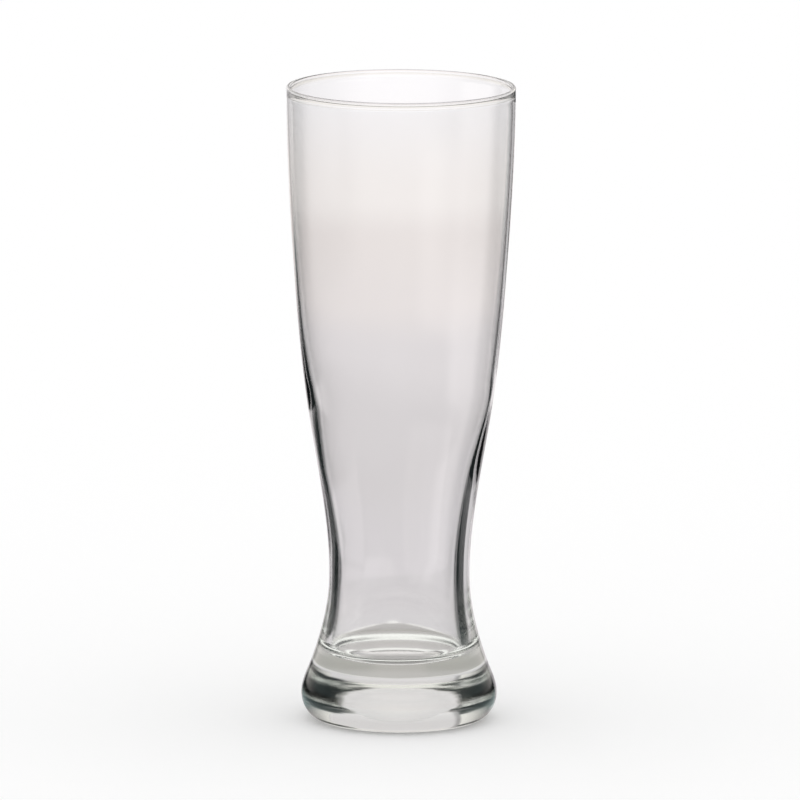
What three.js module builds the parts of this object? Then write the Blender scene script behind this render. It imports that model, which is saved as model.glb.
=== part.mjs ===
// Tall footed pilsner glass in clear soda-lime glass.
// Millimetres, +Z up. The origin is the centre of the ring that the glass stands on.
// The real glass is one continuous piece: rim, bowl, waist and foot are its formed regions,
// and they meet on flat level faces.
import * as THREE from 'three';

// Overall
const HEIGHT = 236.5;
const SEGMENTS_AROUND = 48;

// Rim: a round fire-polished bead on the edge of the wall
const RIM_RADIUS = 42.25;
const RIM_BEAD_RADIUS = 0.95;
const RIM_BEAD_PROUD = 0.2;
const RIM_DEPTH = 4;
const RIM_FLARE = 0.012;
const RIM_WALL = 1.4;

// Bowl: the thin wall between the shoulder and the rim (a slope is radius gained per height)
const BOWL_HEIGHT = 164;
const BOWL_RADIUS = 38.9;
const BOWL_SLOPE = 0.072;
const BOWL_WALL = 1.65;

// Shoulder: where the thick wall of the waist thins into the bowl
const SHOULDER_HEIGHT = 114.5;
const SHOULDER_RADIUS = 33.6;
const SHOULDER_SLOPE = 0.156;
const SHOULDER_WALL = 2.55;

// Waist: the narrowest place
const WAIST_HEIGHT = 54.5;
const WAIST_RADIUS = 25.9;
const WAIST_WALL = 4;

// Well: the bottom of the cavity, a shallow dish with rounded corners (2 would be an ellipse, more is squarer)
const FLOOR_THICKNESS = 21.5;
const WELL_RADIUS = 24.35;
const WELL_DEPTH = 7.5;
const WELL_SQUARENESS = 3;
const WELL_WALL_SLOPE = -0.17;

// Foot: flank, widest place, heel, standing ring and the recess inside that ring
const FLANK_HEIGHT = 22.5;
const FLANK_RADIUS = 32.3;
const FLANK_SLOPE = -0.35;
const FOOT_RADIUS = 36.2;
const FOOT_WIDEST_HEIGHT = 10;
const RING_OUTER_RADIUS = 27.5;
const RING_INNER_RADIUS = 26;
const RECESS_DEPTH = 5.8;
const RECESS_POWER = 2.3;

// Levels where the regions meet
const WELL_TOP = FLOOR_THICKNESS + WELL_DEPTH;
const RIM_SEAT = HEIGHT - RIM_DEPTH;

// Points along each stretch of outline
const FLANK_STEPS = 6;
const WAIST_STEPS = 11;
const BOWL_STEPS = 8;
const ARC_STEPS = 8;

// The outer surface from the widest place of the foot up to the rim's seat
const OUTER_STATIONS = [
  { height: FOOT_WIDEST_HEIGHT, value: FOOT_RADIUS, slope: 0 },
  { height: FLANK_HEIGHT, value: FLANK_RADIUS, slope: FLANK_SLOPE },
  { height: WAIST_HEIGHT, value: WAIST_RADIUS, slope: 0 },
  { height: SHOULDER_HEIGHT, value: SHOULDER_RADIUS, slope: SHOULDER_SLOPE },
  { height: BOWL_HEIGHT, value: BOWL_RADIUS, slope: BOWL_SLOPE },
  { height: RIM_SEAT, value: RIM_RADIUS - RIM_BEAD_PROUD, slope: RIM_FLARE },
];

// A smooth curve through stations, each a height with its value and slope (cubic Hermite spans)
function curveAt(stations, height) {
  const last = stations.length - 2;
  const found = stations.findIndex((station, i) => i > 0 && height <= station.height) - 1;
  const span = found < 0 ? last : found;
  const low = stations[span];
  const high = stations[span + 1];
  const length = high.height - low.height;
  const u = (height - low.height) / length;
  const lowWeight = (1 + 2 * u) * (1 - u) ** 2;
  const highWeight = u ** 2 * (3 - 2 * u);
  const lowTurn = u * (1 - u) ** 2 * length * low.slope;
  const highTurn = u ** 2 * (u - 1) * length * high.slope;
  return low.value * lowWeight + lowTurn + high.value * highWeight + highTurn;
}

function outerRadius(height) {
  return curveAt(OUTER_STATIONS, height);
}

// Wall thickness from the top of the well, where it thins with the height, to the rim's seat
const WALL_STATIONS = [
  { height: WELL_TOP, value: outerRadius(WELL_TOP) - WELL_RADIUS, slope: WELL_WALL_SLOPE },
  { height: WAIST_HEIGHT, value: WAIST_WALL, slope: 0 },
  { height: SHOULDER_HEIGHT, value: SHOULDER_WALL, slope: 0 },
  { height: BOWL_HEIGHT, value: BOWL_WALL, slope: 0 },
  { height: RIM_SEAT, value: RIM_WALL, slope: 0 },
];

function innerRadius(height) {
  return outerRadius(height) - curveAt(WALL_STATIONS, height);
}

// Points of a surface of revolution between two heights, in the order from first to last
function outline(radiusAt, first, last, steps) {
  const points = [];
  for (let i = 0; i <= steps; i += 1) {
    const height = first + ((last - first) * i) / steps;
    points.push(new THREE.Vector2(radiusAt(height), height));
  }
  return points;
}

// Points of an elliptical arc about a centre, between two angles from the outward direction
function arc(centreRadius, centreHeight, halfWidth, halfHeight, from, to, steps) {
  const points = [];
  for (let i = 0; i <= steps; i += 1) {
    const angle = from + ((to - from) * i) / steps;
    const radius = centreRadius + halfWidth * Math.cos(angle);
    const height = centreHeight + halfHeight * Math.sin(angle);
    points.push(new THREE.Vector2(radius, height));
  }
  return points;
}

// Points of the well from its top to the axis: a quarter of a superellipse
function wellCurve() {
  const points = [];
  const power = 2 / WELL_SQUARENESS;
  for (let i = 0; i <= ARC_STEPS; i += 1) {
    const angle = ((Math.PI / 2) * i) / ARC_STEPS;
    const radius = WELL_RADIUS * Math.max(Math.cos(angle), 0) ** power;
    const height = WELL_TOP - WELL_DEPTH * Math.sin(angle) ** power;
    points.push(new THREE.Vector2(radius, height));
  }
  return points;
}

// Points of the recess from the axis out to the ring: its height falls with a power of the radius
function recessCurve() {
  const points = [];
  for (let i = 0; i <= ARC_STEPS; i += 1) {
    const share = i / ARC_STEPS;
    points.push(new THREE.Vector2(RING_INNER_RADIUS * share, RECESS_DEPTH * (1 - share ** RECESS_POWER)));
  }
  return points;
}

// Turns an outline of radius and height about the Z axis into one closed named region
function region(name, points, colour) {
  const geometry = new THREE.LatheGeometry(points, SEGMENTS_AROUND);
  geometry.rotateX(Math.PI / 2);
  const material = new THREE.MeshStandardMaterial({
    color: colour,
    roughness: 0.04,
    metalness: 0,
    transparent: true,
    opacity: 0.35,
  });
  const mesh = new THREE.Mesh(geometry, material);
  mesh.name = name;
  return mesh;
}

// A length of wall between two level faces
function wall(name, bottom, top, steps, colour) {
  const points = [
    ...outline(outerRadius, bottom, top, steps),
    ...outline(innerRadius, top, bottom, steps),
    new THREE.Vector2(outerRadius(bottom), bottom),
  ];
  return region(name, points, colour);
}

function rim() {
  const beadCentre = RIM_RADIUS - RIM_BEAD_RADIUS;
  const beadHeight = HEIGHT - RIM_BEAD_RADIUS;
  const points = [
    new THREE.Vector2(outerRadius(RIM_SEAT), RIM_SEAT),
    ...arc(beadCentre, beadHeight, RIM_BEAD_RADIUS, RIM_BEAD_RADIUS, 0, Math.PI, ARC_STEPS),
    new THREE.Vector2(innerRadius(RIM_SEAT), RIM_SEAT),
    new THREE.Vector2(outerRadius(RIM_SEAT), RIM_SEAT),
  ];
  return region('rim', points, 0xe9ecec);
}

function foot() {
  const heelWidth = FOOT_RADIUS - RING_OUTER_RADIUS;
  const quarter = Math.PI / 2;
  const heel = arc(RING_OUTER_RADIUS, FOOT_WIDEST_HEIGHT, heelWidth, FOOT_WIDEST_HEIGHT, -quarter, 0, ARC_STEPS);
  const flank = outline(outerRadius, FOOT_WIDEST_HEIGHT, WELL_TOP, FLANK_STEPS);
  const points = [...recessCurve(), ...heel, ...flank.slice(1), ...wellCurve()];
  points[points.length - 1].x = 0;
  return region('foot', points, 0xd3dfd8);
}

const glass = new THREE.Group();
glass.name = 'pilsner_glass';
glass.add(foot());
glass.add(wall('waist', WELL_TOP, SHOULDER_HEIGHT, WAIST_STEPS, 0xd9dddd));
glass.add(wall('bowl', SHOULDER_HEIGHT, RIM_SEAT, BOWL_STEPS, 0xe4e6e6));
glass.add(rim());

export default glass;
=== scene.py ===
"""Looks of a tall footed pilsner glass: one continuous piece of clear soda-lime glass on a pale floor."""
import math

import bpy
import numpy as np
from mathutils import Matrix, Vector


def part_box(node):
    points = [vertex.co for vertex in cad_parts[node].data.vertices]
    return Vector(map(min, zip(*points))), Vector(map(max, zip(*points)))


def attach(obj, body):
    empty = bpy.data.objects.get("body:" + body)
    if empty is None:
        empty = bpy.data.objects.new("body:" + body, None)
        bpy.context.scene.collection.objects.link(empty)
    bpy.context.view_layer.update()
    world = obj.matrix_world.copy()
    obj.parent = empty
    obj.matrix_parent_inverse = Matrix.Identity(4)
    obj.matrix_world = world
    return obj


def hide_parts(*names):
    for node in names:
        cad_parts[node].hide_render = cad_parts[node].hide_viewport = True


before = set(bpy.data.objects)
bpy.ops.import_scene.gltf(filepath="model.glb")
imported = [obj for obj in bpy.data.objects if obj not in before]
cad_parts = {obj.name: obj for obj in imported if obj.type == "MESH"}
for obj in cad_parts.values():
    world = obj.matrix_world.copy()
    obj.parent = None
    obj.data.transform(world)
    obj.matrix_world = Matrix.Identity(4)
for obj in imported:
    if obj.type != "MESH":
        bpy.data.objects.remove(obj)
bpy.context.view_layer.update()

MM = 0.001

# Sizes of the glass, in metres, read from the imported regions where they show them
RIM_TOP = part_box("rim")[1].z
RIM_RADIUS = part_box("rim")[1].x
RIM_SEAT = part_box("bowl")[1].z
SHOULDER_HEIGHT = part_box("waist")[1].z
SHOULDER_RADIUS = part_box("waist")[1].x
FOOT_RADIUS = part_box("foot")[1].x
BEAD_RADIUS = 0.75 * MM
BEAD_PROUD = 0.03 * MM
RIM_FLARE = 0.012
BOWL_HEIGHT = 164 * MM
BOWL_RADIUS = 38.9 * MM
BOWL_SLOPE = 0.072
SHOULDER_SLOPE = 0.156
WAIST_HEIGHT = 54.5 * MM
WAIST_RADIUS = 25.9 * MM
FLANK_HEIGHT = 22.5 * MM
FLANK_RADIUS = 32.3 * MM
FLANK_SLOPE = -0.35
FOOT_WIDEST = 10 * MM
RING_OUTER = 27.5 * MM
RING_INNER = 26 * MM
RECESS_DEPTH = 6.4 * MM
RECESS_POWER = 2.4

# Wall thickness and the cavity's middle line at heights above the floor, in millimetres, with their slopes
WALL_STATIONS = [
    (26, 6.4, -0.22), (36, 4.95, -0.09), (50, 4.05, -0.02), (64, 3.9, -0.025), (90, 3.05, -0.03),
    (112, 2.35, -0.028), (136, 1.7, -0.025), (164, 1.25, -0.008), (232.5, 1.0, 0),
]
SHIFT_STATIONS = [
    (15, -0.85, 0), (60, -0.48, 0.004), (90, -0.6, 0.012), (104, -0.05, 0.045), (117, 0.35, 0),
    (130, 0, -0.015), (145, -0.15, 0), (200, -0.15, 0),
]

# Bottom of the cavity: where its wall begins to turn in, its depth below that and how square its corner is
WELL_TOP = 29 * MM
WELL_DEPTH = 7.5 * MM
WELL_SQUARENESS = 3.0

# Fineness of the glass surface: places around, rows on each stretch of the profile, and how near two rows
# have to lie to count as one
AROUND = 280
ROWS_ARC = 22
ROWS_RING = 6
ROWS_WALL = 118
ROWS_WELL = 40
SAME_ROW = 1e-7

# Clear soda-lime glass: how much it bends light, and the colour and density with which it takes light away
GLASS_IOR = 1.52
GLASS_ABSORPTION = (0.48, 0.59, 0.47)
GLASS_DENSITY = 3

# Unevenness of the glass: a slow waver, with its scale per metre along each axis and its height, and the
# level streaks of the pressed foot, as a share of that height, with the height at which they have gone
WAVER_SCALE = (60, 60, 22)
WAVER_DETAIL = 1
WAVER_HEIGHT = 0.000008
STREAK_SCALE = (30, 30, 400)
STREAK_DETAIL = 2
STREAK_SHARE = 4.5
STREAK_TOP = 0.03
STREAK_FADE = 0.008

# Dullness of the glass: patchy scuffs low on the ring, an even dullness of the recess, with the heights
# between which it begins, and a slight one of the lower walls, with the heights and the distances from the
# axis between which it begins
SCUFF_SCALE = 900
SCUFF_DETAIL = 4
SCUFF_PATCHES = (0.35, 0.7)
SCUFF_HEIGHT = 0.0006
SCUFF_DULLNESS = 0.2
RECESS_DULLNESS = 0.2
RECESS_FADE = (RECESS_DEPTH + 4 * MM, RECESS_DEPTH + 2 * MM)
LOWER_DULLNESS = 0.075
LOWER_FADE = (0.058, 0.048)
LOWER_OUTSIDE = (0.016, 0.018)

# Floor as the camera sees it: its half width in metres, its colour and a little light of its own
FLOOR_SIZE = 6.0
FLOOR_COLOUR = (0.9, 0.9, 0.9)
FLOOR_GLOW = 0.1

# Floor as the glass shows it, in metres: a pale spot under the foot, fans that open out from it, each with
# its heading in degrees and its reach, and a dim apron round the foot
SPOT_FULL = 0.034
SPOT_END = 0.046
FANS = ((0, FLOOR_SIZE), (-90, 0.20), (135, 0.20))
FAN_START = 0.03
FAN_SPREAD = 0.38
FAN_LEAN = 0.05
FAN_FADE = 0.012
APRON_FULL = 0.04
APRON_END = 0.14
APRON_COLOUR = (0.30, 0.30, 0.29)
APRON_REFLECTED = (0.48, 0.62, 0.62)

# Colours of the pale spot and fans: near the foot, on the front of the spot, behind the painted arch of
# light, in painted shade in the middle under the foot and in painted shade in a ring round it, with the
# distances between which each changes
FLOOR_NEAR = (0.55, 0.525, 0.515)
FLOOR_FRONT = (0.20, 0.20, 0.19)
FRONT_FADE = (-0.004, -0.016)
FLOOR_FAR = (0.74, 0.71, 0.725)
SHADE_UNDER_FOOT = (0.32, 0.31, 0.305)
SHADE_UNDER_FOOT_FADE = (0.012, 0.019)
FLOOR_SHADE = (0.48, 0.46, 0.435)
SHADE_INNER = (0.047, 0.054)
SHADE_OUTER = (0.061, 0.068)

# Floor far off as the glass reflects it: its colour, the distances between which it begins and, in degrees,
# how far it turns from straight behind and where its two pale sides begin
FAR_REFLECTED = (0.55, 0.54, 0.52)
FAR_FADE = (0.80, 1.05)
FAR_HEADINGS = (62, 46)
FAR_LEFT = (4, -4)
FAR_RIGHT = (34, 44)

# Painted light on the floor, in place of light that the glass gathers there: a ring at the edge of the foot
# and a pointed arch behind it
PAINTED_RING_LIGHT = (1.12, 1.12, 1.08)
RING_GLOW_INNER = (0.0235, 0.026)
RING_GLOW_OUTER = (0.029, 0.0315)
PAINTED_ARCH_LIGHT = (1.2, 1.18, 1.14)
ARCH_REACH = 0.122
ARCH_SLOPE = 2.6
ARCH_POINT = 0.003
ARCH_WIDTH = 0.008
ARCH_SIDE = (0.032, 0.020)

# Sheet behind the glass, in metres: where it stands, where each of its sides is low down and high up, and
# the heights between which that side moves over
BACKDROP_DISTANCE = 0.26
BACKDROP_FOOT = -0.25
BACKDROP_TOP = 0.30
BACKDROP_TOP_FADE = 0.06
BACKDROP_LEFT = (-0.125, -0.25)
BACKDROP_LEFT_RISE = (0.11, 0.17)
BACKDROP_RIGHT = (0.155, 0.080)
BACKDROP_RIGHT_RISE = (0.05, 0.09)
BACKDROP_FADE = 0.012

# Light of the sheet: where it dims on the left and what is left of it there, how much it rounds off to both
# sides and between which distances and heights that begins, and its colour at heights above the floor
BACKDROP_DIMMING = (-0.118, -0.100)
BACKDROP_DIM = 0.5
BACKDROP_ROUNDING = 0.07
BACKDROP_ASIDE = (0.010, 0.034)
BACKDROP_ALOFT = (0.100, 0.140)
BACKDROP_COLOURS = [
    (0.0, (0.80, 0.765, 0.785)),
    (0.035, (0.78, 0.745, 0.755)),
    (0.055, (0.80, 0.765, 0.775)),
    (0.085, (0.875, 0.835, 0.845)),
    (0.110, (0.945, 0.888, 0.877)),
    (0.135, (0.96, 0.90, 0.882)),
    (0.152, (1.05, 1.0, 0.98)),
    (0.200, (1.08, 1.06, 1.075)),
]

# Studio far off, by direction in degrees: whether a panel is mirrored, seen through the glass and seen in
# its reflections, then its centre heading, half width, side fade, low end, high end, end fade, level and tint
WALL_TINT = (1.0, 0.965, 0.925)
SIDE_TINT = (1.0, 0.962, 0.968)
DIM_TINT = (0.74, 1.0, 1.0)
DARK_COLOUR = (0.014, 0.018, 0.018)
STUDIO_WHITE = (1.0, 1.0, 1.0)
PANELS = [
    (True, False, True, 0, 180, 10, 8, 90, 8, 0.34, DIM_TINT),
    (True, True, True, 0, 26, 44, 1, 10, 4, 0.96, WALL_TINT),
    (True, True, True, 0, 8, 26, 10, 90, 6, 0.96, WALL_TINT),
    (True, True, True, 180, 28, 16, 22, 90, 8, 1.15, WALL_TINT),
    (True, True, True, 0, 180, 10, 32, 90, 10, 0.95, WALL_TINT),
    (True, True, True, 0, 32, 20, 36, 62, 6, 0.5, WALL_TINT),
    (False, True, False, -90, 14, 20, -13, 4, 4, 0.9, SIDE_TINT),
    (False, True, False, 135, 12, 20, -20, -13.5, 3, 0.9, SIDE_TINT),
    (False, True, False, -45, 14, 14, -33, -24.5, 3, 0.9, SIDE_TINT),
]
LIGHT_BOUNCES = 12

# Camera: at the photograph's angle and far off, in metres, with a long lens, in millimetres as its sensor is
CAMERA_DISTANCE = 5.0
CAMERA_FARTHEST = 100.0
CAMERA_AIM = 119.4 * MM
CAMERA_ELEVATION = math.radians(10.0)
CAMERA_ROLL = math.radians(0.2)
CAMERA_LENS = 610.0
CAMERA_SENSOR = 36.0


def station_curve(stations, height):
    """Cubic Hermite curve through stations of (height, value, slope): in each span the two end values and
    the two end slopes, each times its span's length, are blended by the four Hermite weights."""
    knots, values, slopes = (np.array(column, float) for column in zip(*stations))
    span = np.clip(np.searchsorted(knots, height, side="right") - 1, 0, len(knots) - 2)
    length = knots[span + 1] - knots[span]
    u = (height - knots[span]) / length
    low = values[span] * (1 + 2 * u) * (1 - u) ** 2 + slopes[span] * length * u * (1 - u) ** 2
    high = values[span + 1] * u**2 * (3 - 2 * u) + slopes[span + 1] * length * u**2 * (u - 1)
    return low + high


def outer_radius(height):
    """Radius of the outside of the glass from the widest place of the foot to the rim's seat."""
    return station_curve([
        (FOOT_WIDEST, FOOT_RADIUS, 0),
        (FLANK_HEIGHT, FLANK_RADIUS, FLANK_SLOPE),
        (WAIST_HEIGHT, WAIST_RADIUS, 0),
        (SHOULDER_HEIGHT, SHOULDER_RADIUS, SHOULDER_SLOPE),
        (BOWL_HEIGHT, BOWL_RADIUS, BOWL_SLOPE),
        (RIM_SEAT, RIM_RADIUS - BEAD_PROUD, RIM_FLARE),
    ], height)


def cavity_radius(height):
    """Radius of the cavity: the outside's less the wall's thickness there."""
    return outer_radius(height) - station_curve(WALL_STATIONS, height / MM) * MM


def glass_profile():
    """Radius, height and sideways shift of the closed profile, row by row, from the middle of the underside
    outwards, up the outside, over the bead of the rim and down the inside to the middle of the cavity.
    The recess falls from its middle by a power of the radius, the heel is a quarter of an ellipse, the bead
    is an arc, and the cavity's bottom is a quarter of a superellipse."""
    share = np.linspace(0, 1, ROWS_ARC)
    ring = np.linspace(RING_INNER, RING_OUTER, ROWS_RING)
    quarter = np.linspace(0, np.pi / 2, ROWS_ARC)
    climb = np.linspace(FOOT_WIDEST, RIM_SEAT, ROWS_WALL)
    bead_start = -math.acos(1 - BEAD_PROUD / BEAD_RADIUS)
    bead_end = 2 * math.pi - math.acos((cavity_radius(RIM_SEAT) - RIM_RADIUS + BEAD_RADIUS) / BEAD_RADIUS)
    turn = np.linspace(bead_start, bead_end, ROWS_ARC)
    descent = climb[climb > WELL_TOP][::-1]
    well = np.linspace(0, np.pi / 2, ROWS_WELL)
    power = 2 / WELL_SQUARENESS
    inside = np.r_[descent, WELL_TOP - WELL_DEPTH * np.sin(well) ** power]
    radius = np.r_[
        RING_INNER * share,
        ring,
        RING_OUTER + (FOOT_RADIUS - RING_OUTER) * np.sin(quarter),
        outer_radius(climb),
        RIM_RADIUS - BEAD_RADIUS + BEAD_RADIUS * np.cos(turn),
        cavity_radius(descent),
        cavity_radius(WELL_TOP) * np.maximum(np.cos(well), 0) ** power,
    ]
    height = np.r_[
        RECESS_DEPTH * (1 - share**RECESS_POWER),
        ring * 0,
        FOOT_WIDEST * (1 - np.cos(quarter)),
        climb,
        RIM_TOP - BEAD_RADIUS + BEAD_RADIUS * np.sin(turn),
        inside,
    ]
    shift = np.zeros_like(height)
    shift_ends = SHIFT_STATIONS[0][0], SHIFT_STATIONS[-1][0]
    shift[-len(inside):] = station_curve(SHIFT_STATIONS, np.clip(inside / MM, *shift_ends)) * MM
    apart = np.r_[True, np.hypot(np.diff(radius), np.diff(height)) > SAME_ROW]
    return radius[apart], height[apart], shift[apart]


def revolved_mesh(name, radius, height, shift):
    """A profile turned about the upright axis: point (row, column) lies at its row's radius about a middle
    moved sideways by its row's shift, at its column's angle and at its row's height. The first and last
    rows are the poles, one point each, closed by fans."""
    rows, columns = len(radius), AROUND
    angle = np.linspace(0, 2 * np.pi, columns, endpoint=False)
    x = (shift[:, None] + radius[:, None] * np.cos(angle))[1:-1]
    y = (radius[:, None] * np.sin(angle))[1:-1]
    z = np.broadcast_to(height[1:-1, None], x.shape)
    body = np.stack([x, y, z], axis=-1).reshape(-1, 3)
    poles = np.array([[shift[0], 0, height[0]], [shift[-1], 0, height[-1]]])
    points = np.vstack([body, poles])
    column = np.arange(columns)
    after = (column + 1) % columns
    row = np.arange(rows - 3)[:, None] * columns
    quads = np.stack([row + column, row + after, row + columns + after, row + columns + column], axis=-1)
    start, last = len(body), (rows - 3) * columns
    bottom = np.stack([np.full(columns, start), after, column], axis=-1)
    top = np.stack([np.full(columns, start + 1), last + column, last + after], axis=-1)
    mesh = bpy.data.meshes.new(name)
    mesh.from_pydata(points, [], [*quads.reshape(-1, 4).tolist(), *bottom.tolist(), *top.tolist()])
    mesh.shade_smooth()
    mesh.update()
    return mesh


def make_glass():
    """The whole glass as one closed surface, the profile turned about the axis."""
    glass = bpy.data.objects.new("pilsner_glass", revolved_mesh("pilsner_glass", *glass_profile()))
    bpy.context.scene.collection.objects.link(glass)
    return glass


def feed_socket(tree, slot, given):
    """Sets an input to a number or to red, green and blue, or links another node's output to it."""
    if isinstance(given, (int, float)):
        slot.default_value = given
    elif isinstance(given, tuple):
        slot.default_value = (*given, 1)
    else:
        tree.links.new(given, slot)


def value_node(tree, operation, *inputs):
    """A Math node of that operation on numbers or sockets; gives its output socket."""
    node = tree.nodes.new("ShaderNodeMath")
    node.operation = operation
    for slot, given in zip(node.inputs, inputs):
        feed_socket(tree, slot, given)
    return node.outputs[0]


def product_node(tree, first, *others):
    """Numbers or sockets multiplied together; gives the output socket of the last Math node."""
    for other in others:
        first = value_node(tree, "MULTIPLY", first, other)
    return first


def ramp_node(tree, value, low, high, ends=(0, 1)):
    """The first end where value is at low, the second where it is at high, with a smooth step between."""
    node = tree.nodes.new("ShaderNodeMapRange")
    node.interpolation_type = "SMOOTHSTEP"
    names = ("Value", "From Min", "From Max", "To Min", "To Max")
    for name, given in zip(names, (value, low, high, *ends)):
        feed_socket(tree, node.inputs[name], given)
    return node.outputs["Result"]


def blend_node(tree, share, first, second):
    """A colour mixed from two, each a socket or red, green and blue, by a share socket. A Mix node has its
    two colour inputs in the places 6 and 7 and its colour output in the place 2."""
    node = tree.nodes.new("ShaderNodeMix")
    node.data_type = "RGBA"
    for slot, given in zip((node.inputs["Factor"], *node.inputs[6:8]), (share, first, second)):
        feed_socket(tree, slot, given)
    return node.outputs[2]


def blend_shaders(tree, share, first, second):
    """A surface mixed from two nodes' shaders by a share socket; gives the mixing node."""
    node = tree.nodes.new("ShaderNodeMixShader")
    for slot, given in zip(node.inputs, (share, first.outputs[0], second.outputs[0])):
        tree.links.new(given, slot)
    return node


def noise_node(tree, place, scale, detail):
    """A noise over places stretched by a scale for each axis; gives its value socket."""
    stretch = tree.nodes.new("ShaderNodeMapping")
    stretch.inputs["Scale"].default_value = scale
    tree.links.new(place, stretch.inputs["Vector"])
    noise = tree.nodes.new("ShaderNodeTexNoise")
    noise.inputs["Scale"].default_value = 1
    noise.inputs["Detail"].default_value = detail
    tree.links.new(stretch.outputs["Vector"], noise.inputs["Vector"])
    return noise.outputs[0]


def place_nodes(tree, kind):
    """A texture coordinate of that kind, whole and as its three parts."""
    place = tree.nodes.new("ShaderNodeTexCoord").outputs[kind]
    split = tree.nodes.new("ShaderNodeSeparateXYZ")
    tree.links.new(place, split.inputs[0])
    return place, *split.outputs


def distance_node(tree, x, y):
    """Distance from the upright axis: the root of the sum of the two squares."""
    squares = value_node(tree, "MULTIPLY", x, x)
    squares = value_node(tree, "MULTIPLY_ADD", y, y, squares)
    return value_node(tree, "SQRT", squares)


def heading_node(tree, x, y):
    """Heading in degrees: 0 straight behind the glass and 90 to its right."""
    return value_node(tree, "DEGREES", value_node(tree, "ARCTAN2", x, y))


def ring_node(tree, radius, inner, outer):
    """A ring on the floor: from 0 to 1 over its inner distances and back to 0 over its outer ones."""
    return value_node(tree, "SUBTRACT", ramp_node(tree, radius, *inner), ramp_node(tree, radius, *outer))


def ray_kinds(tree):
    """Two switches: 1 for a ray last bent by the glass, and 1 for a ray last bent or thrown back by it."""
    path = tree.nodes.new("ShaderNodeLightPath")
    bent = path.outputs["Is Transmission Ray"]
    return bent, value_node(tree, "MAXIMUM", bent, path.outputs["Is Glossy Ray"])


def unevenness_group():
    """Unevenness of the glass. The height wavers slowly up the wall and around it, with level streaks added
    on the foot. The dullness is the largest of three: a patchy noise kept to the lowest part of a
    millimetre, where the ring rests on tables, an even one in the recess, and a slight one of the walls low
    down."""
    group = bpy.data.node_groups.new("glass_unevenness", "ShaderNodeTree")
    for name in ("Height", "Dullness"):
        group.interface.new_socket(name, in_out="OUTPUT", socket_type="NodeSocketFloat")
    place, x, y, z = place_nodes(group, "Object")
    radius = distance_node(group, x, y)
    waver = noise_node(group, place, WAVER_SCALE, WAVER_DETAIL)
    streak = noise_node(group, place, STREAK_SCALE, STREAK_DETAIL)
    on_foot = ramp_node(group, z, STREAK_TOP, STREAK_TOP - STREAK_FADE)
    streak = product_node(group, on_foot, STREAK_SHARE, streak)
    patchy = ramp_node(group, noise_node(group, place, (SCUFF_SCALE,) * 3, SCUFF_DETAIL), *SCUFF_PATCHES)
    scuffed = product_node(group, ramp_node(group, z, SCUFF_HEIGHT, 0), patchy, SCUFF_DULLNESS)
    in_recess = ramp_node(group, radius, RING_OUTER, RING_INNER)
    frosted = product_node(group, in_recess, ramp_node(group, z, *RECESS_FADE), RECESS_DULLNESS)
    low_down = ramp_node(group, z, *LOWER_FADE)
    lower = product_node(group, low_down, ramp_node(group, radius, *LOWER_OUTSIDE), LOWER_DULLNESS)
    frosted = value_node(group, "MAXIMUM", frosted, lower)
    out = group.nodes.new("NodeGroupOutput")
    group.links.new(value_node(group, "ADD", waver, streak), out.inputs["Height"])
    group.links.new(value_node(group, "MAXIMUM", scuffed, frosted), out.inputs["Dullness"])
    return group


def clear_glass():
    """Clear glass that bends light and takes a little of it away, with unevenness as bump and roughness."""
    material = bpy.data.materials.new("clear_glass")
    material.use_nodes = True
    nodes, links = material.node_tree.nodes, material.node_tree.links
    shader = nodes["Principled BSDF"]
    shader.inputs["Base Color"].default_value = (1, 1, 1, 1)
    shader.inputs["IOR"].default_value = GLASS_IOR
    shader.inputs["Transmission Weight"].default_value = 1
    uneven = nodes.new("ShaderNodeGroup")
    uneven.node_tree = unevenness_group()
    bump = nodes.new("ShaderNodeBump")
    bump.inputs["Strength"].default_value = 1
    bump.inputs["Distance"].default_value = WAVER_HEIGHT
    links.new(uneven.outputs["Height"], bump.inputs["Height"])
    links.new(bump.outputs["Normal"], shader.inputs["Normal"])
    links.new(uneven.outputs["Dullness"], shader.inputs["Roughness"])
    absorb = nodes.new("ShaderNodeVolumeAbsorption")
    absorb.inputs["Color"].default_value = (*GLASS_ABSORPTION, 1)
    absorb.inputs["Density"].default_value = GLASS_DENSITY
    links.new(absorb.outputs["Volume"], nodes["Material Output"].inputs["Volume"])
    return material


def stage_plane(name, corners, material):
    """A flat piece of the studio with four corners."""
    mesh = bpy.data.meshes.new(name)
    mesh.from_pydata(corners, [], [(0, 1, 2, 3)])
    mesh.materials.append(material)
    plane = bpy.data.objects.new(name, mesh)
    bpy.context.scene.collection.objects.link(plane)
    return plane


def floor_fan(tree, x, y, heading):
    """How pale the floor is in one fan: 1 where the sideways distance from its leaning middle line, less what
    it widens by, is under its half width at the start, fading out over its sides and towards the axis."""
    east, north = math.sin(math.radians(heading)), math.cos(math.radians(heading))
    along = value_node(tree, "MULTIPLY", x, east)
    along = value_node(tree, "MULTIPLY_ADD", y, north, along)
    across = value_node(tree, "MULTIPLY", x, north)
    across = value_node(tree, "MULTIPLY_ADD", y, -east, across)
    across = value_node(tree, "MULTIPLY_ADD", along, -FAN_LEAN, across)
    across = value_node(tree, "ABSOLUTE", across)
    across = value_node(tree, "MULTIPLY_ADD", along, -FAN_SPREAD, across)
    inside = ramp_node(tree, across, FAN_START + FAN_FADE, FAN_START)
    return product_node(tree, inside, ramp_node(tree, along, 0, SPOT_FULL))


def pale_places(tree, x, y, radius, bent):
    """How pale the floor is: 1 in the spot under the foot and in the fans. A fan that ends at its reach
    shows only through the glass, and the one that runs to the end of the floor shows in reflections too."""
    pale = ramp_node(tree, radius, SPOT_END, SPOT_FULL)
    for heading, reach in FANS:
        fan = floor_fan(tree, x, y, heading)
        if reach < FLOOR_SIZE:
            fan = product_node(tree, fan, ramp_node(tree, radius, reach + SPOT_END, reach), bent)
        pale = value_node(tree, "MAXIMUM", pale, fan)
    return pale


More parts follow.
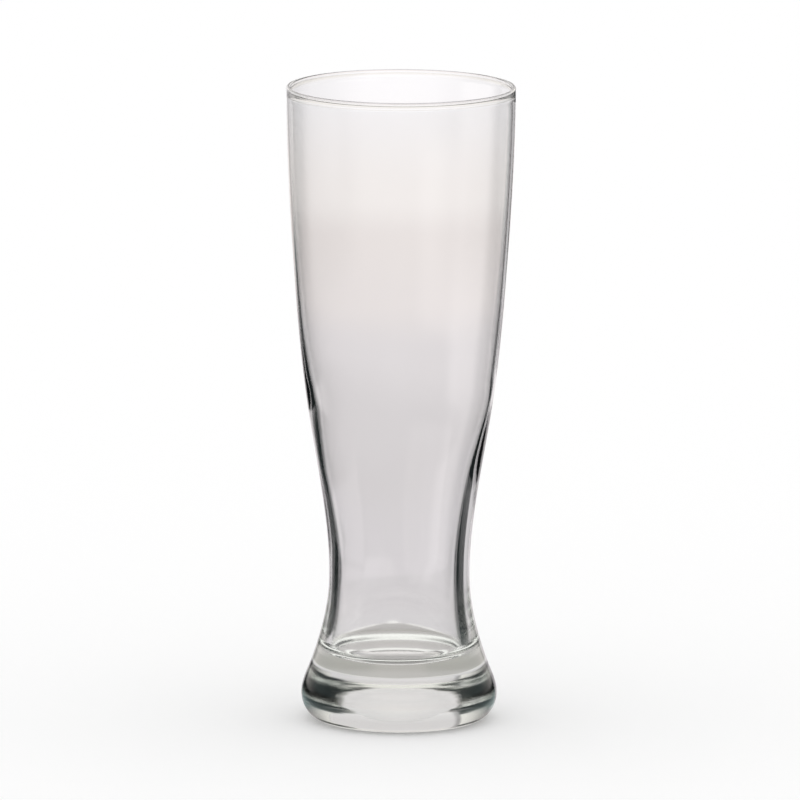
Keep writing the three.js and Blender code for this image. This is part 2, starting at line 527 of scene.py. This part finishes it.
def pale_colour(tree, x, y, radius):
    """Colour of the floor's pale places, laid on in turn: the near floor with its darker front and its
    painted shade in the middle, the painted shade of the ring, the floor behind the arch, and the painted
    light of the arch and of the ring. The arch runs where the distance behind, and a slope times the rounded
    distance aside, add up to its reach."""
    in_spot = ramp_node(tree, radius, SPOT_END, SPOT_FULL)
    front = product_node(tree, ramp_node(tree, y, *FRONT_FADE), in_spot)
    near = blend_node(tree, front, FLOOR_NEAR, FLOOR_FRONT)
    # Painted shade in the middle under the foot
    colour = blend_node(tree, ramp_node(tree, radius, *SHADE_UNDER_FOOT_FADE), SHADE_UNDER_FOOT, near)
    # Painted shade in a ring round the foot
    colour = blend_node(tree, ring_node(tree, radius, SHADE_INNER, SHADE_OUTER), colour, FLOOR_SHADE)
    aside = value_node(tree, "ADD", value_node(tree, "MULTIPLY", x, x), ARCH_POINT**2)
    aside = value_node(tree, "SQRT", aside)
    arch = value_node(tree, "MULTIPLY_ADD", aside, ARCH_SLOPE, y)
    arch = value_node(tree, "SUBTRACT", arch, ARCH_REACH)
    colour = blend_node(tree, ramp_node(tree, arch, -ARCH_WIDTH, ARCH_WIDTH), colour, FLOOR_FAR)
    # Painted light along the arch, in place of light that the glass gathers there
    painted_arch_glow = ramp_node(tree, value_node(tree, "ABSOLUTE", arch), ARCH_WIDTH, 0)
    painted_arch_glow = product_node(tree, painted_arch_glow, ramp_node(tree, aside, *ARCH_SIDE))
    colour = blend_node(tree, painted_arch_glow, colour, PAINTED_ARCH_LIGHT)
    # Painted light in a ring at the edge of the foot
    return blend_node(tree, ring_node(tree, radius, RING_GLOW_INNER, RING_GLOW_OUTER), colour, PAINTED_RING_LIGHT)


def far_places(tree, x, y, radius, bent):
    """Where a ray that isn't bent meets the floor far off: 1 all over it, and 1 on its two pale sides."""
    far = ramp_node(tree, radius, *FAR_FADE)
    far = product_node(tree, far, value_node(tree, "SUBTRACT", 1, bent))
    heading = heading_node(tree, x, y)
    ahead = ramp_node(tree, value_node(tree, "ABSOLUTE", heading), *FAR_HEADINGS)
    left, right = ramp_node(tree, heading, *FAR_LEFT), ramp_node(tree, heading, *FAR_RIGHT)
    return far, product_node(tree, far, ahead, value_node(tree, "MAXIMUM", left, right))


def floor_material():
    """White and softly shadowed to the camera. Through the glass and in its reflections the floor has its
    pale places, with painted shade and painted light on them, a dim apron round the foot and, in
    reflections, two pale sides far off. Elsewhere it is clear."""
    material = bpy.data.materials.new("pale_floor")
    material.use_nodes = True
    tree = material.node_tree
    shader = tree.nodes["Principled BSDF"]
    shader.inputs["Base Color"].default_value = (*FLOOR_COLOUR, 1)
    shader.inputs["Roughness"].default_value = 1
    shader.inputs["Specular IOR Level"].default_value = 0
    shader.inputs["Emission Color"].default_value = (1, 1, 1, 1)
    shader.inputs["Emission Strength"].default_value = FLOOR_GLOW
    bent, either_way = ray_kinds(tree)
    _, x, y, _ = place_nodes(tree, "Object")
    radius = distance_node(tree, x, y)
    far, far_sides = far_places(tree, x, y, radius, bent)
    near = value_node(tree, "SUBTRACT", 1, far)
    pale = product_node(tree, pale_places(tree, x, y, radius, bent), near)
    dim = blend_node(tree, bent, APRON_REFLECTED, APRON_COLOUR)
    dim = blend_node(tree, far_sides, dim, FAR_REFLECTED)
    apron = value_node(tree, "MAXIMUM", ramp_node(tree, radius, APRON_END, APRON_FULL), far_sides)
    shown = tree.nodes.new("ShaderNodeEmission")
    tree.links.new(blend_node(tree, pale, dim, pale_colour(tree, x, y, radius)), shown.inputs["Color"])
    clear = tree.nodes.new("ShaderNodeBsdfTransparent")
    seen = blend_shaders(tree, value_node(tree, "MAXIMUM", pale, apron), clear, shown)
    either = blend_shaders(tree, either_way, shader, seen)
    tree.links.new(either.outputs[0], tree.nodes["Material Output"].inputs["Surface"])
    return material


def make_floor():
    """A level square floor at the foot of the glass."""
    size = FLOOR_SIZE
    corners = [(-size, -size, 0), (size, -size, 0), (size, size, 0), (-size, size, 0)]
    stage_plane("floor", corners, floor_material())


def backdrop_colour(tree, z):
    """Colour of the sheet by height, eased between the given heights. A new ramp has two stops ready."""
    highest = BACKDROP_COLOURS[-1][0]
    ramp = tree.nodes.new("ShaderNodeValToRGB")
    ramp.color_ramp.interpolation = "EASE"
    stops = ramp.color_ramp.elements
    ready = len(stops)
    for step, (height, colour) in enumerate(BACKDROP_COLOURS):
        stop = stops[step] if step < ready else stops.new(1)
        stop.position = height / highest
        stop.color = (*colour, 1)
    tree.links.new(value_node(tree, "DIVIDE", z, highest), ramp.inputs["Fac"])
    return ramp.outputs["Color"]


def backdrop_material():
    """A pale sheet behind the glass. Its colour changes with the height, it is dimmer at its left side and
    a little to both sides high up, and it fades out at its two sides and at its top."""
    material = bpy.data.materials.new("pale_backdrop")
    material.use_nodes = True
    tree = material.node_tree
    tree.nodes.remove(tree.nodes["Principled BSDF"])
    _, x, _, z = place_nodes(tree, "Object")
    left = ramp_node(tree, z, *BACKDROP_LEFT_RISE, ends=BACKDROP_LEFT)
    right = ramp_node(tree, z, *BACKDROP_RIGHT_RISE, ends=BACKDROP_RIGHT)
    past_left = value_node(tree, "SUBTRACT", left, x)
    past_right = value_node(tree, "SUBTRACT", x, right)
    past = value_node(tree, "MAXIMUM", past_left, past_right)
    kept = ramp_node(tree, past, BACKDROP_FADE / 2, -BACKDROP_FADE / 2)
    kept = product_node(tree, kept, ramp_node(tree, z, BACKDROP_TOP, BACKDROP_TOP - BACKDROP_TOP_FADE))
    level = ramp_node(tree, x, *BACKDROP_DIMMING, ends=(BACKDROP_DIM, 1))
    aside = ramp_node(tree, value_node(tree, "ABSOLUTE", x), *BACKDROP_ASIDE)
    rounding = product_node(tree, aside, ramp_node(tree, z, *BACKDROP_ALOFT), BACKDROP_ROUNDING)
    level = product_node(tree, level, value_node(tree, "SUBTRACT", 1, rounding))
    light = tree.nodes.new("ShaderNodeEmission")
    tree.links.new(backdrop_colour(tree, z), light.inputs["Color"])
    tree.links.new(level, light.inputs["Strength"])
    sheet = blend_shaders(tree, kept, tree.nodes.new("ShaderNodeBsdfTransparent"), light)
    tree.links.new(sheet.outputs[0], tree.nodes["Material Output"].inputs["Surface"])
    return material


def make_backdrop():
    """An upright sheet behind the glass, seen only through the glass and in its reflections."""
    left, right = min(BACKDROP_LEFT) - BACKDROP_FADE, max(BACKDROP_RIGHT) + BACKDROP_FADE
    low, high, back = BACKDROP_FOOT, BACKDROP_TOP, BACKDROP_DISTANCE
    corners = [(left, back, low), (right, back, low), (right, back, high), (left, back, high)]
    plane = stage_plane("backdrop", corners, backdrop_material())
    plane.visible_camera = False
    plane.visible_diffuse = False
    plane.visible_shadow = False


def panel_group():
    """How much of a bright panel is seen along a direction: full inside its half width about its centre
    heading and between its two elevations, and fading out over the two fades."""
    group = bpy.data.node_groups.new("panel", "ShaderNodeTree")
    for name in ("Heading", "Elevation", "Centre", "Half Width", "Side Fade", "Low", "High", "End Fade"):
        group.interface.new_socket(name, in_out="INPUT", socket_type="NodeSocketFloat")
    group.interface.new_socket("Mask", in_out="OUTPUT", socket_type="NodeSocketFloat")
    given = group.nodes.new("NodeGroupInput").outputs
    away = value_node(group, "SUBTRACT", given["Heading"], given["Centre"])
    away = value_node(group, "ABSOLUTE", away)
    gone = value_node(group, "ADD", given["Half Width"], given["Side Fade"])
    across = ramp_node(group, away, gone, given["Half Width"])
    below = value_node(group, "SUBTRACT", given["Low"], given["End Fade"])
    above = value_node(group, "ADD", given["High"], given["End Fade"])
    rise = ramp_node(group, given["Elevation"], below, given["Low"])
    fall = ramp_node(group, given["Elevation"], above, given["High"])
    mask = product_node(group, across, rise, fall)
    group.links.new(mask, group.nodes.new("NodeGroupOutput").inputs["Mask"])
    return group


def make_world():
    """A white studio. Through the glass and in its reflections it has bright walls and a bright ceiling over
    dark surroundings, and through the glass three more pale panels, one for each further side that it is
    looked at from."""
    world = bpy.data.worlds.new("studio")
    bpy.context.scene.world = world
    world.use_nodes = True
    tree = world.node_tree
    _, x, y, z = place_nodes(tree, "Generated")
    heading = heading_node(tree, x, y)
    turned = value_node(tree, "ABSOLUTE", heading)
    elevation = value_node(tree, "DEGREES", value_node(tree, "ARCSINE", z))
    bent, either_way = ray_kinds(tree)
    thrown_back = value_node(tree, "SUBTRACT", either_way, bent)
    group = panel_group()
    colour = DARK_COLOUR
    for mirrored, through, reflected, *sizes, level, tint in PANELS:
        panel = tree.nodes.new("ShaderNodeGroup")
        panel.node_tree = group
        for slot, given in zip(panel.inputs, (turned if mirrored else heading, elevation, *sizes)):
            feed_socket(tree, slot, given)
        mask = panel.outputs["Mask"]
        if not (through and reflected):
            mask = product_node(tree, mask, bent if through else thrown_back)
        colour = blend_node(tree, mask, colour, tuple(level * part for part in tint))
    background = tree.nodes["Background"]
    background.inputs["Strength"].default_value = 1
    tree.links.new(blend_node(tree, either_way, STUDIO_WHITE, colour), background.inputs["Color"])


def make_camera():
    """The camera, turned to its aim on the axis and rolled a little."""
    data = bpy.data.cameras.new("camera")
    data.lens = CAMERA_LENS
    data.sensor_width = CAMERA_SENSOR
    data.clip_end = CAMERA_FARTHEST
    camera = bpy.data.objects.new("camera", data)
    bpy.context.scene.collection.objects.link(camera)
    target = Vector((0, 0, CAMERA_AIM))
    back = Vector((0, -math.cos(CAMERA_ELEVATION), math.sin(CAMERA_ELEVATION)))
    turn = (-back).to_track_quat("-Z", "Y").to_matrix().to_4x4()
    roll = Matrix.Rotation(CAMERA_ROLL, 4, "Z")
    camera.matrix_world = Matrix.Translation(target + back * CAMERA_DISTANCE) @ turn @ roll
    bpy.context.scene.camera = camera


glass = make_glass()
glass.data.materials.append(clear_glass())
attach(glass, "root")
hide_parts("rim", "bowl", "waist", "foot")
make_floor()
make_backdrop()
make_world()
make_camera()
bpy.context.scene.view_settings.view_transform = "Standard"
for bounces in ("max_bounces", "transmission_bounces", "glossy_bounces"):
    setattr(bpy.context.scene.cycles, bounces, LIGHT_BOUNCES)
